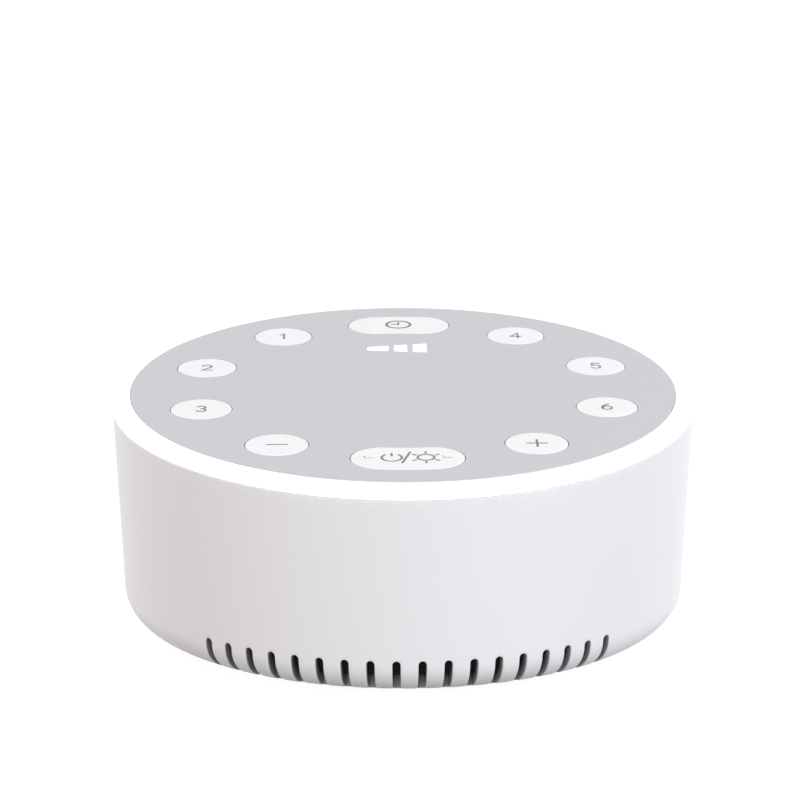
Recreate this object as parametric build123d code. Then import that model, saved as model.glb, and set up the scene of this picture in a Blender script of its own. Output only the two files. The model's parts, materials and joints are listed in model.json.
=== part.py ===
from build123d import *
import os
from math import cos, radians, sin, sqrt, tan

# Round white noise sound machine with a light ring and a slanted key panel. Millimetres, +Z up.
# The origin is on the surface it stands on, under the middle of the panel. The front is -Y.

# Case
case_height = 43.4          # base plane up to the middle of the panel's top
case_r = 55.4               # outside radius of the wall at that height
draft = 2.5                 # lean of the wall, narrower at the bottom, degrees
wall = 2.0
bottom_round = 6.0
floor = 2.5
top_tilt = 4.9              # slant of the panel, lower at the front, degrees
foot_proud = 0.8            # how far the feet lift the base plane

# Light ring, measured square to the slanted panel
ring_inset = 0.05           # its edge in from the case's outside
ring_width = 3.35
ring_drop = 2.2
ring_skirt = 3.0            # how far the skirt reaches down inside the wall
ring_skirt_gap = 0.5
ring_ledge = 2.4

# Key panel
panel_thickness = 2.2
panel_gap = 0.15
key_circle_inset = 12.1     # from the panel's seat
key_r = 5.68
key_gap = 0.17
key_proud = 0.05
key_edge_round = 0.15
key_skin = 1.2
key_flange = 1.3
key_flange_thickness = 1.0
key_flange_gap = 0.2
key_stem_r = 1.7
long_key_half_angle = 6.5   # half the arc between the two end rounds, degrees
boss_circle_step = 2.1      # outside the key circle
boss_r = 2.6
boss_angles = (54.0, 90.0, 126.0, 234.0, 270.0, 306.0)

# Level window: three panes in a wedge behind the panel's middle
level_inset = 15.5          # its middle line in from the key circle
level_left = -6.7
level_right = 5.3
level_low_left = -1.4
level_low_right = -2.8
level_high_left = 0.72
level_high_right = 2.95
level_tip_r = 0.9
level_bars = (-1.81, 1.93)  # middles of the two bars between the panes
level_bar_width = 1.04
level_gap = 0.06
level_flange = 1.3
level_flange_thickness = 1.0
shield_skin = 0.6

# Main board and what stands on it, heights square to the board
board_top = 9.2             # panel's top down to the board's top
board_thickness = 1.6
board_gap = 1.4             # from the inside of the wall at the panel's height
switch_size = 6.0
switch_height = 3.5
plunger_r = 1.75
plunger_gap = 0.1
plunger_proud = 1.1
plunger_length = 2.6
plunger_room = 0.8          # depth of the switch's bore under the plunger at rest
ring_led_count = 20
ring_led_size = (3.0, 1.6, 1.9)
ring_led_edge = 0.3         # from the board's edge
level_led_size = (1.6, 1.6, 0.8)
controller_size = (10.0, 10.0, 1.2)
controller_place = (-12.0, 2.0)
amplifier_size = (6.0, 5.0, 1.5)
amplifier_place = (17.0, -2.0)
socket_size = (4.6, 3.6, 3.0)
speaker_socket_place = (6.0, 8.0)
battery_socket_place = (24.0, 14.0)
usb_socket_place = (-6.0, 22.0)

# Inner frame
frame_thickness = 2.5
frame_width = 13.5
frame_edge_gap = 1.0
column_r = 3.5
column_inset = 13.0         # middle of a column in from the frame's edge, along X
column_front_y = -12.4
column_holder_gap = 1.0     # rear columns in front of the battery's holder

# Screws
screw_r = 1.0
screw_head_r = 1.9
screw_head_height = 1.3
screw_gap = 0.05            # round a thread in its bore
screw_hole_gap = 0.2        # round a shank in a plain hole
screw_tip_gap = 0.5
recess_length = 0.6         # cross recess in a head, shares of the head's radius
recess_width = 0.16
recess_depth = 0.55         # share of the head's height
frame_screw_bite = 4.5      # thread inside a panel boss
small_screw_bite = 3.5      # thread inside a post of the base
base_screw_r = 1.3
base_screw_head_r = 2.5
base_screw_head_height = 1.2
base_screw_head_sunk = 0.3
base_screw_bite = 9.0

# Base plate
base_inset = 9.4            # its edge in from the case's radius
base_gap = 0.15
base_step = 2.0             # width of the shell's step over the plate's edge
base_step_thickness = 1.0
foot_r = 4.0
foot_inset = 4.5            # middle of a foot in from the base plate's edge
foot_angle = 37.0           # from the front or the rear line, degrees
foot_sunk = 0.7
foot_edge_round = 0.4
foot_gap = 0.1

# Sound slots round the front
slot_count = 18
slot_pitch = 4.93
slot_width = 1.25
slot_top = 6.75             # above the base plane
slot_land = 2.9             # floor left between a slot's end and the base plate
mesh_thickness = 0.4
mesh_top = 9.5              # above the base plane
mesh_side = 4.0             # how far the mesh runs on past the last slot, degrees

# Power inlet and charge light at the rear
port_x = 2.5
port_height = 13.8          # above the base plane
port_width = 12.0
port_tall = 5.0
port_corner = 2.0
port_depth = 3.5
port_collar = 1.2
usb_width = 8.94
usb_tall = 3.26
usb_length = 7.35
usb_skin = 0.3
usb_corner = 1.6
usb_inset = 0.2             # inlet's face behind the bottom of the recess
tongue_width = 6.7
tongue_tall = 0.7
tongue_inset = 0.6
tongue_gap = 0.05
light_x = -6.9
light_height = 13.3         # above the base plane
light_r = 0.75
light_gap = 0.05
light_collar_r = 1.5
light_collar = 1.0
light_collar_gap = 0.6
light_inset = 0.1
charge_led_size = (1.6, 1.2, 2.0)
charge_led_gap = 0.2
usb_board_width = 28.0
usb_board_thickness = 1.2
usb_board_inset = 6.0       # its rear edge in from the case's radius
usb_board_length = 14.9
usb_post_x = 11.0
usb_post_inset = 3.0        # middle of a post in from the base plate's raised middle
usb_post_r = 2.2

# Speaker, facing down at the front, heights above its own face
speaker_front_gap = 1.0     # its edge in from the base plate's edge
speaker_reach = 7.0         # how far it reaches behind the middle
speaker_rim = 3.6           # from its edge to its opening
speaker_lift = 5.2          # base plate up to the speaker's face
speaker_flange = 1.2
basket_shoulder = 1.6       # width of the flange inside the shoulder
basket_neck = 0.9           # neck's edge outside the magnet's
basket_height = 9.0
basket_seat = 1.7           # seat's hole inside the magnet's edge
basket_skin = 1.5
basket_window_count = 4
basket_window_width = 13.0
basket_window_low = 2.6
basket_window_high = 6.4
ear_angles = (-15.0, 40.0, 140.0, 195.0)
ear_step = 1.6              # middle of an ear outside the speaker's edge
ear_r = 3.1
post_r = 2.7
gasket_thickness = 0.8
gasket_step = 0.8           # outside the speaker's opening
gasket_width = 1.6
chamber_wall = 1.8
chamber_mouth = 100.0       # angle of the chamber's mouth towards the slots, degrees
magnet_r = 15.5
magnet_step = 1.2           # its hole outside the top plate's
magnet_height = 5.5
plate_thickness = 1.5
plate_gap = 0.5             # round the voice coil
pole_r = 6.5
yoke_inset = 0.5            # its edge inside the magnet's
coil_gap = 0.45             # round the pole
coil_thickness = 0.35
coil_low = 4.5
coil_high = 11.8
cone_neck_gap = 0.05
surround_width = 3.9        # from the cone's rim to the speaker's opening
cone_rim = 0.5
cone_neck = 4.5
cone_skin = 0.6
dust_cap_step = 1.7         # its rim outside the voice coil
dust_cap_gap = 0.06
dust_cap_depth = 2.1
dust_cap_skin = 0.4
surround_gap = 0.1
surround_skin = 0.4
spider_gap = 0.05
spider_skin = 0.35
spider_wave = 0.5
spider_waves = 3
spider_lip = 1.2
terminal_width = 8.0
terminal_thickness = 1.5
terminal_height = 4.8

# Battery, lying across the rear
cell_r = 9.2
cell_length = 65.0
cell_spacing = 13.0         # its middle in front of the power board
cell_lift = 1.0
cell_gap = 0.15
cell_end_gap = 0.1
holder_depth = 15.0
holder_height = 7.0
holder_end = 1.6
holder_end_height = 10.5
contact_thickness = 0.4
contact_width = 8.0
contact_low = 3.0

# Leads inside the case
lead_r = 0.55
lead_bend_share = 0.45
speaker_lead_rise = 5.0
battery_lead_rise = 11.0
usb_lead_rise = 7.5
lead_clearance = 2.2        # bend under a socket above the battery
usb_lead_x = -4.0
usb_lead_inset = 2.5        # behind the power board's front edge

# Worked out from the sizes above
base_z = foot_proud
floor_z = base_z + floor
panel_z = base_z + case_height
tilt = radians(top_tilt)
top_plane = Plane(origin=(0, 0, panel_z), x_dir=(1, 0, 0), z_dir=(0, -sin(tilt), cos(tilt)))
ring_outer_r = case_r - ring_inset
panel_seat_r = ring_outer_r - ring_width
ring_skirt_r = case_r - wall - ring_skirt_gap
ring_ledge_r = panel_seat_r - ring_ledge
ring_low = ring_drop + ring_skirt
key_circle_r = panel_seat_r - key_circle_inset
boss_circle_r = key_circle_r + boss_circle_step
level_y = key_circle_r - level_inset
key_low = panel_thickness + key_flange_gap + key_flange_thickness
switch_top = board_top - switch_height
plunger_top = switch_top - plunger_proud
level_flange_low = panel_thickness + level_flange_thickness
board_r = case_r - wall - board_gap
board_low = board_top + board_thickness
frame_low = board_low + frame_thickness
frame_r = board_r - frame_edge_gap
frame_inner_r = frame_r - frame_width
base_r = case_r - base_inset
base_hole_r = base_r + base_gap
base_step_r = base_hole_r - base_step
base_middle_r = base_step_r - base_gap
foot_circle_r = base_r - foot_inset
speaker_r = (base_r - speaker_front_gap + speaker_reach) / 2
speaker_y = speaker_reach - speaker_r
speaker_open_r = speaker_r - speaker_rim
basket_shoulder_r = speaker_open_r + basket_shoulder
basket_neck_r = magnet_r + basket_neck
basket_seat_r = magnet_r - basket_seat
ear_circle_r = speaker_r + ear_step
gasket_inner_r = speaker_open_r + gasket_step
gasket_outer_r = gasket_inner_r + gasket_width
coil_inner_r = pole_r + coil_gap
coil_outer_r = coil_inner_r + coil_thickness
plate_hole_r = coil_outer_r + plate_gap
magnet_hole_r = plate_hole_r + magnet_step
yoke_r = magnet_r - yoke_inset
cone_r = speaker_open_r - surround_width
dust_cap_r = coil_outer_r + dust_cap_step
face_z = floor_z + speaker_lift
seat_z = face_z + basket_height
port_z = base_z + port_height
light_z = base_z + light_height
usb_board_z = port_z - usb_tall / 2
usb_board_rear = case_r - usb_board_inset
usb_board_front = usb_board_rear - usb_board_length
usb_post_y = sqrt((base_middle_r - usb_post_inset) ** 2 - usb_post_x ** 2)
usb_lead_y = usb_board_front + usb_lead_inset
cell_y = usb_board_front - cell_spacing
cell_z = floor_z + cell_lift + cell_r
lead_low = cell_z + cell_r + lead_clearance
cell_end = cell_length / 2
column_x = frame_r - column_inset
column_rear_y = cell_y - holder_depth / 2 - column_holder_gap - column_r
screw_hole_r = screw_r + screw_hole_gap
far = 200.0                 # longer than the whole object, for cutting tools

LOW = (Align.CENTER, Align.CENTER, Align.MIN)
HIGH = (Align.CENTER, Align.CENTER, Align.MAX)


# Shared shapes
def disc(radius, low, high, x=0.0, y=0.0):
    return Pos(x, y, low) * Cylinder(radius, high - low, align=LOW)


def tube(inner_r, outer_r, low, high, x=0.0, y=0.0):
    return disc(outer_r, low, high, x, y) - disc(inner_r, low, high, x, y)


def block(size, x=0.0, y=0.0, low=0.0):
    return Pos(x, y, low) * Box(*size, align=LOW)


def turned(outline, arc=360.0):
    return revolve(Plane.XZ * make_face(outline), axis=Axis.Z, revolution_arc=arc)


def turned_points(*points):
    return turned(Polyline(*points, close=True))


def on_top(shape):
    """Moves a shape from the panel's own frame, where its top is z = 0, to its place."""
    return top_plane.location * shape


def above_top(depth):
    """Everything higher than a plane this deep below the panel's top."""
    return on_top(block((far, far, far), low=-depth))


def top_point(x, y, depth):
    return top_plane.from_local_coords(Vector(x, y, -depth))


def circle_place(radius, angle):
    """A point at an angle clockwise from the rear, seen from above."""
    return radius * sin(radians(angle)), radius * cos(radians(angle))


def wall_radius(z):
    return case_r + (z - panel_z) * tan(radians(draft))


def cup(inset, lift):
    """Solid form of the case, set in from its wall and lifted off its base plane."""
    low = base_z + lift
    high = panel_z + case_r * tan(tilt)
    low_r = wall_radius(low) - inset
    high_r = wall_radius(high) - inset
    body = turned_points((0, low), (low_r, low), (high_r, high), (0, high))
    return fillet(body.edges().group_by(Axis.Z)[0], bottom_round - inset)


def rear_wall_y(x, z, inset=0.0):
    return sqrt((wall_radius(z) - inset) ** 2 - x ** 2)


def screw(radius, head_r, head_height, length):
    """Screw pointing up, with the underside of its head at z = 0 and a cross recess in the head."""
    one = disc(radius, 0, length) + disc(head_r, -head_height, 0)
    long, wide = 2 * recess_length * head_r, 2 * recess_width * head_r
    deep = recess_depth * head_height
    return one - block((long, wide, deep), 0, 0, -head_height) - block((wide, long, deep), 0, 0, -head_height)


# Case
def slot_cutter():
    length = case_r - base_hole_r
    middle = -(base_hole_r + slot_land + length / 2)
    crown_z = base_z + slot_top - slot_width / 2
    slab = Pos(0, middle, crown_z) * Box(slot_width, length, far, align=HIGH)
    crown = Pos(0, middle, crown_z) * Rot(90, 0, 0) * Cylinder(slot_width / 2, length)
    return slab + crown


def slot_cutters():
    first = -slot_pitch * (slot_count - 1) / 2
    return [Rot(0, 0, first + slot_pitch * step) * slot_cutter() for step in range(slot_count)]


def port_floor_y():
    """Bottom of the inlet's recess."""
    return rear_wall_y(port_x, port_z) - port_depth


def rear_prism(width, tall, corner, near, away):
    """Rounded bar along Y through the middle of the inlet."""
    plane = Plane(origin=(port_x, near, port_z), x_dir=(-1, 0, 0), z_dir=(0, 1, 0))
    return extrude(plane * RectangleRounded(width, tall, corner), amount=away - near)


def port_prism(grow, near, away):
    return rear_prism(port_width + 2 * grow, port_tall + 2 * grow, port_corner + grow, near, away)


def light_rod(radius, near, away):
    return Pos(light_x, (near + away) / 2, light_z) * Rot(90, 0, 0) * Cylinder(radius, away - near)


def outer_shell():
    shell = cup(0, 0) - cup(wall, floor)
    shell += port_prism(port_collar, port_floor_y(), rear_wall_y(port_x, port_z, wall / 2))
    shell -= above_top(ring_drop)
    shell -= disc(base_step_r, 0, floor_z)
    shell -= disc(base_hole_r, 0, floor_z - base_step_thickness)
    shell -= slot_cutters()
    shell -= port_prism(0, port_floor_y() - wall, case_r + wall)
    shell -= light_rod(light_r + light_gap, port_floor_y(), case_r + wall)
    return shell


def sound_mesh():
    band = cup(wall, floor) - cup(wall + mesh_thickness, floor + mesh_thickness)
    reach = slot_pitch * (slot_count - 1) / 2 + mesh_side
    corners = ((base_hole_r, 0), (case_r, 0), (case_r, base_z + mesh_top), (base_hole_r, base_z + mesh_top))
    sector = turned(Polyline(*corners, close=True), 2 * reach)
    return band & (Rot(0, 0, -90 - reach) * sector)


def ear_places():
    return [
        (ear_circle_r * cos(radians(angle)), speaker_y + ear_circle_r * sin(radians(angle)))
        for angle in ear_angles
    ]


def column_places():
    return [(x, y) for y in (column_front_y, column_rear_y) for x in (column_x, -column_x)]


def usb_post_places():
    return [(usb_post_x, usb_post_y), (-usb_post_x, usb_post_y)]


def foot_places():
    angles = (foot_angle, 180 - foot_angle, 180 + foot_angle, -foot_angle)
    return [circle_place(foot_circle_r, angle) for angle in angles]


def speaker_chamber():
    ring = tube(gasket_inner_r, gasket_inner_r + chamber_wall, floor_z, face_z - gasket_thickness)
    corners = ((0, 0), (speaker_r, 0), (speaker_r, face_z), (0, face_z))
    mouth = turned(Polyline(*corners, close=True), chamber_mouth)
    return Pos(0, speaker_y, 0) * (ring - Rot(0, 0, -90 - chamber_mouth / 2) * mouth)


def base_plate():
    plate = disc(base_r, base_z, floor_z - base_step_thickness)
    plate += disc(base_middle_r, base_z, floor_z)
    plate += speaker_chamber()
    for x, y in ear_places():
        plate += disc(post_r, floor_z, face_z, x, y)
        plate -= disc(screw_r + screw_gap, face_z - small_screw_bite - screw_tip_gap, face_z, x, y)
    post_top = usb_board_z - usb_board_thickness
    for x, y in usb_post_places():
        plate += disc(usb_post_r, floor_z, post_top, x, y)
        plate -= disc(screw_r + screw_gap, post_top - small_screw_bite - screw_tip_gap, post_top, x, y)
    for x, y in column_places():
        plate -= disc(base_screw_r + screw_hole_gap, base_z, floor_z, x, y)
        head_top = base_z + base_screw_head_sunk + base_screw_head_height
        plate -= disc(base_screw_head_r + screw_hole_gap, base_z, head_top, x, y)
    for x, y in foot_places():
        plate -= disc(foot_r + foot_gap, base_z, base_z + foot_sunk, x, y)
    return plate


def rubber_feet():
    foot = disc(foot_r, 0, foot_proud + foot_sunk)
    foot = fillet(foot.edges().group_by(Axis.Z)[0], foot_edge_round)
    return Compound(children=[Pos(x, y, 0) * foot for x, y in foot_places()])


# Light ring and panel
def light_ring():
    shoulder = EllipticalCenterArc((panel_seat_r, -ring_drop), ring_width, ring_drop, 0, arc_size=90)
    rest = Polyline(
        (panel_seat_r, 0),
        (panel_seat_r, -panel_thickness),
        (ring_ledge_r, -panel_thickness),
        (ring_ledge_r, -ring_low),
        (ring_skirt_r, -ring_low),
        (ring_skirt_r, -ring_drop),
        (ring_outer_r, -ring_drop),
    )
    return on_top(turned([shoulder, rest]))


def round_key_face(grow):
    return Pos(0, key_circle_r) * Circle(key_r + grow)


def long_key_face(grow):
    arc = CenterArc((0, 0), key_circle_r, 90 - long_key_half_angle, 2 * long_key_half_angle)
    return SlotArc(arc, 2 * (key_r + grow))


def level_x_cuts():
    half_bar = level_bar_width / 2
    first, second = level_bars
    return (
        (level_left, first - half_bar),
        (first + half_bar, second - half_bar),
        (second + half_bar, level_right),
    )


def level_edge(x, left, right):
    return left + (right - left) * (x - level_left) / (level_right - level_left)


def level_pane(left, right, grow):
    """One pane of the wedge, with its low and high edges on the wedge's two slanted lines."""
    corners = (
        (left - grow, level_edge(left, level_low_left, level_low_right) - grow),
        (right + grow, level_edge(right, level_low_left, level_low_right) - grow),
        (right + grow, level_edge(right, level_high_left, level_high_right) + grow),
        (left - grow, level_edge(left, level_high_left, level_high_right) + grow),
    )
    pane = make_face(Polyline(*corners, close=True))
    if left == level_left:
        pane = fillet(pane.vertices().group_by(Axis.X)[0], level_tip_r)
    return Pos(0, level_y) * pane


def top_panel():
    panel = disc(panel_seat_r - panel_gap, -panel_thickness, 0)
    for name, angle, face in keys():
        panel -= Rot(0, 0, -angle) * extrude(face(key_gap), amount=-panel_thickness)
    for left, right in level_x_cuts():
        panel -= extrude(level_pane(left, right, level_gap), amount=-panel_thickness)
    for angle in boss_angles:
        x, y = circle_place(boss_circle_r, angle)
        panel += disc(boss_r, -board_top, -panel_thickness, x, y)
        bore_end = frame_screw_bite + screw_tip_gap - board_top
        panel -= disc(screw_r + screw_gap, -board_top, bore_end, x, y)
    return on_top(panel)


def level_flange_size():
    tall = level_high_right - level_low_right + 2 * level_flange
    return level_right - level_left + 2 * level_flange, tall


def level_flange_place():
    return (level_left + level_right) / 2, level_y + (level_high_right + level_low_right) / 2


def level_lens():
    x, y = level_flange_place()
    lens = block((*level_flange_size(), level_flange_thickness), x, y, -level_flange_low)
    for left, right in level_x_cuts():
        lens += extrude(level_pane(left, right, 0), amount=-panel_thickness)
    return on_top(lens)


def level_light_shield():
    width, tall = level_flange_size()
    height = board_top - level_flange_low
    x, y = level_flange_place()
    shield = block((width, tall, height), x, y, -board_top)
    for left, right in level_x_cuts():
        room = (right - left, tall - 2 * shield_skin, height)
        shield -= block(room, (left + right) / 2, y, -board_top)
    return on_top(shield)


# Keys and their switches
def keys():
    """Name, angle clockwise from the rear and outline of each key."""
    return (
        ("timer", 0, long_key_face),
        ("sound_4", 36, round_key_face),
        ("sound_5", 72, round_key_face),
        ("sound_6", 108, round_key_face),
        ("volume_up", 144, round_key_face),
        ("power", 180, long_key_face),
        ("volume_down", 216, round_key_face),
        ("sound_3", 252, round_key_face),
        ("sound_2", 288, round_key_face),
        ("sound_1", 324, round_key_face),
    )


def key_cap(angle, face):
    """Hollow cap with a flange that holds it under the panel and a stem that meets its switch."""
    cap = Pos(0, 0, key_proud) * extrude(face(0), amount=-(key_proud + key_low))
    cap = fillet(cap.edges().group_by(Axis.Z)[-1], key_edge_round)
    cap += Pos(0, 0, -key_low) * extrude(face(key_flange), amount=key_flange_thickness)
    hollow = extrude(face(-key_skin), amount=key_low + key_proud - key_skin)
    cap -= Pos(0, 0, -key_low) * hollow
    cap += disc(key_stem_r, -plunger_top, key_proud - key_skin, 0, key_circle_r)
    return on_top(Rot(0, 0, -angle) * cap)


def key_plunger(angle):
    x, y = circle_place(key_circle_r, angle)
    return on_top(disc(plunger_r, -plunger_top - plunger_length, -plunger_top, x, y))


def switch_bodies():
    bodies = []
    for name, angle, face in keys():
        x, y = circle_place(key_circle_r, angle)
        body = block((switch_size, switch_size, switch_height), x, y, -board_top)
        bore_low = -plunger_top - plunger_length - plunger_room
        body -= disc(plunger_r + plunger_gap, bore_low, -switch_top, x, y)
        bodies.append(on_top(body))
    return Compound(children=bodies)


# Main board
def main_board():
    board = disc(board_r, -board_low, -board_top)
    for angle in boss_angles:
        x, y = circle_place(boss_circle_r, angle)
        board -= disc(screw_hole_r, -board_low, -board_top, x, y)
    return on_top(board)


def ring_leds():
    middle_r = board_r - ring_led_edge - ring_led_size[1] / 2
    led = block(ring_led_size, 0, middle_r, -board_top)
    step = 360 / ring_led_count
    return Compound(children=[on_top(Rot(0, 0, step * index) * led) for index in range(ring_led_count)])


def level_leds():
    y = level_flange_place()[1]
    middles = [(left + right) / 2 for left, right in level_x_cuts()]
    leds = [on_top(block(level_led_size, x, y, -board_top)) for x in middles]
    return Compound(children=leds)


def under_board(size, place):
    return on_top(block(size, place[0], place[1], -board_low - size[2]))


def board_sockets():
    places = (speaker_socket_place, battery_socket_place, usb_socket_place)
    return Compound(children=[under_board(socket_size, place) for place in places])


def inner_frame():
    frame = tube(frame_inner_r, frame_r, -frame_low, -board_low)
    for angle in boss_angles:
        x, y = circle_place(boss_circle_r, angle)
        frame -= disc(screw_hole_r, -frame_low, -board_low, x, y)
    frame = on_top(frame)
    for x, y in column_places():
        column = disc(column_r, floor_z, panel_z, x, y) - above_top(board_low)
        frame += column
    for x, y in column_places():
        frame -= disc(base_screw_r + screw_gap, floor_z, floor_z + base_screw_bite + screw_tip_gap, x, y)
    return frame


# Screws
def frame_screws():
    length = frame_thickness + board_thickness + frame_screw_bite
    one = screw(screw_r, screw_head_r, screw_head_height, length)
    places = [circle_place(boss_circle_r, angle) for angle in boss_angles]
    return Compound(children=[on_top(Pos(x, y, -frame_low) * one) for x, y in places])


def small_screws():
    """Screws of the speaker's ears and of the power board, pointing down into the base's posts."""
    screws = []
    for places, seat, through in (
        (ear_places(), face_z + speaker_flange, speaker_flange),
        (usb_post_places(), usb_board_z, usb_board_thickness),
    ):
        one = screw(screw_r, screw_head_r, screw_head_height, through + small_screw_bite)
        screws += [Pos(x, y, seat) * Rot(180, 0, 0) * one for x, y in places]
    return Compound(children=screws)


def base_screws():
    seat = base_z + base_screw_head_sunk + base_screw_head_height
    length = floor_z - seat + base_screw_bite
    one = screw(base_screw_r, base_screw_head_r, base_screw_head_height, length)
    return Compound(children=[Pos(x, y, seat) * one for x, y in column_places()])


# Power inlet
def usb_face_y():
    return port_floor_y() - usb_inset


def usb_shell():
    face = usb_face_y()
    back = face - usb_length
    inner_width = usb_width - 2 * usb_skin
    inner_tall = usb_tall - 2 * usb_skin
    shell = rear_prism(usb_width, usb_tall, usb_corner, back, face)
    return shell - rear_prism(inner_width, inner_tall, usb_corner - usb_skin, back + usb_skin, face)


def usb_tongue():
    near = usb_face_y() - usb_length + usb_skin + tongue_gap
    away = usb_face_y() - tongue_inset
    return rear_prism(tongue_width, tongue_tall, tongue_tall / 3, near, away)


def usb_board():
    size = (usb_board_width, usb_board_rear - usb_board_front, usb_board_thickness)
    board = block(size, 0, (usb_board_front + usb_board_rear) / 2, usb_board_z - usb_board_thickness)
    for x, y in usb_post_places():
        board -= disc(screw_hole_r, usb_board_z - usb_board_thickness, usb_board_z, x, y)
    return board


def light_collar_end():
    return rear_wall_y(light_x, light_z, wall) - light_collar_gap


def charge_light_pipe():
    end = rear_wall_y(light_x, light_z) - light_inset
    collar_end = light_collar_end()
    start = collar_end - light_collar
    pipe = light_rod(light_r, start, end) + light_rod(light_collar_r, start, collar_end)
    return pipe


def charge_led():
    rear = light_collar_end() - light_collar - charge_led_gap
    return block(charge_led_size, light_x, rear - charge_led_size[1] / 2, usb_board_z)


# Speaker
def speaker_basket():
    seat_low = basket_height - basket_skin
    basket = turned_points(
        (speaker_open_r, 0),
        (speaker_r, 0),
        (speaker_r, speaker_flange),
        (basket_shoulder_r, speaker_flange),
        (basket_neck_r, basket_height),
        (basket_seat_r, basket_height),
        (basket_seat_r, seat_low),
        (basket_neck_r - basket_skin / 2, seat_low),
        (speaker_open_r, speaker_flange),
    )
    window_tall = basket_window_high - basket_window_low
    window = block((basket_window_width, speaker_r, window_tall), 0, speaker_r / 2, basket_window_low)
    for index in range(basket_window_count):
        turn = 360 * (index + 0.5) / basket_window_count
        basket -= Rot(0, 0, turn) * window
    terminal_y = (basket_shoulder_r + speaker_r) / 2
    basket += block((terminal_width, terminal_thickness, terminal_height), 0, terminal_y, speaker_flange)
    basket = Pos(0, speaker_y, face_z) * basket
    for x, y in ear_places():
        basket += disc(ear_r, face_z, face_z + speaker_flange, x, y)
    for x, y in ear_places():
        basket -= disc(screw_hole_r, face_z, face_z + speaker_flange, x, y)
    return basket


def speaker_gasket():
    return tube(gasket_inner_r, gasket_outer_r, face_z - gasket_thickness, face_z, 0, speaker_y)


def speaker_top_plate():
    return tube(plate_hole_r, magnet_r, seat_z, seat_z + plate_thickness, 0, speaker_y)


def speaker_magnet():
    low = seat_z + plate_thickness
    return tube(magnet_hole_r, magnet_r, low, low + magnet_height, 0, speaker_y)


def speaker_yoke():
    low = seat_z + plate_thickness + magnet_height
    return disc(yoke_r, low, low + plate_thickness, 0, speaker_y) + disc(pole_r, seat_z, low, 0, speaker_y)


def at_speaker(shape):
    return Pos(0, speaker_y, face_z) * shape


def voice_coil():
    return at_speaker(tube(coil_inner_r, coil_outer_r, coil_low, coil_high))


def cone_neck_r():
    return coil_outer_r + cone_neck_gap


def speaker_cone():
    return at_speaker(
        turned_points(
            (cone_neck_r(), cone_neck),
            (cone_r, cone_rim),
            (cone_r, cone_rim + cone_skin),
            (cone_neck_r(), cone_neck + cone_skin),
        )
    )


def dust_cap():
    """Dome under the cone's neck, hollow on its upper side."""
    slope = (cone_neck - cone_rim) / (cone_r - cone_neck_r())
    rim = cone_neck - (dust_cap_r - cone_neck_r()) * slope - dust_cap_gap
    bulge = 0.75            # share of its depth that a dome has at half its radius
    low = rim - dust_cap_skin

    def dome(height):
        half = (dust_cap_r / 2, height - dust_cap_depth * bulge)
        return ThreePointArc((0, height - dust_cap_depth), half, (dust_cap_r, height))

    outline = [
        dome(low),
        Line((dust_cap_r, low), (dust_cap_r, rim)),
        dome(rim),
        Line((0, rim - dust_cap_depth), (0, low - dust_cap_depth)),
    ]
    return at_speaker(turned(outline))


def speaker_surround():
    """Half roll between the cone's rim and the basket."""
    inner = cone_r + surround_gap
    outer = speaker_open_r - surround_gap
    middle = (inner + outer) / 2
    radius = (outer - inner) / 2
    level = cone_rim + cone_skin
    outside = CenterArc((middle, level), radius, 180, 180)
    inside = CenterArc((middle, level), radius - surround_skin, 180, 180)
    closing = [
        Line((inner, level), (inner + surround_skin, level)),
        Line((outer - surround_skin, level), (outer, level)),
    ]
    return at_speaker(turned([outside, inside] + closing))


def speaker_spider():
    """Corrugated disc between the voice coil and the basket's seat."""
    lip_top = basket_height - basket_skin
    lip_low = lip_top - spider_skin
    inner = coil_outer_r + spider_gap
    wave_end = basket_seat_r + spider_gap
    step = (wave_end - inner) / (2 * spider_waves)
    upper = []
    for index in range(2 * spider_waves + 1):
        height = lip_top - (2 * spider_wave if index % 2 else 0)
        upper.append((inner + step * index, height))
    upper.append((wave_end + spider_lip, lip_top))
    lower = [(radius, height - spider_skin) for radius, height in reversed(upper)]
    return at_speaker(turned_points(*upper, *lower))


# Battery
def battery_cell():
    return Pos(0, cell_y, cell_z) * Rot(0, 90, 0) * Cylinder(cell_r, cell_length)


def holder_room():
    """Half the length inside the holder: half the cell, one contact and a little play."""
    return cell_end + cell_end_gap + contact_thickness


def battery_holder():
    length = 2 * (holder_room() + holder_end)
    tray = block((length, holder_depth, holder_height), 0, cell_y, floor_z)
    ends = block((length, holder_depth, holder_end_height), 0, cell_y, floor_z)
    ends -= block((2 * holder_room(), holder_depth, holder_end_height), 0, cell_y, floor_z + cell_lift)
    trough = Pos(0, cell_y, cell_z) * Rot(0, 90, 0) * Cylinder(cell_r + cell_gap, 2 * holder_room())
    slots = [
        block((contact_thickness, contact_width, holder_height), side, cell_y, floor_z + contact_low)
        for side in (contact_x(), -contact_x())
    ]
    return tray - trough - slots + ends


def contact_x():
    return holder_room() - contact_thickness / 2


def battery_contacts():
    """Strips between the cell's ends and the holder's, bent over the holder's ends as tabs."""
    top = floor_z + holder_end_height
    low = floor_z + contact_low
    strip = block((contact_thickness, contact_width, top - low), contact_x(), cell_y, low)
    tab_length = contact_thickness + holder_end
    tab_x = holder_room() - contact_thickness + tab_length / 2
    tab = block((tab_length, contact_width, contact_thickness), tab_x, cell_y, top)
    contact = strip + tab
    return Compound(children=[contact, mirror(contact, about=Plane.YZ)])


# Leads
def lead_turn(before, corner, after):
    """Shorter run and turn, in degrees, at one corner of a route."""
    come = corner - before
    leave = after - corner
    return min(come.length, leave.length), come.get_angle(leave)


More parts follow.
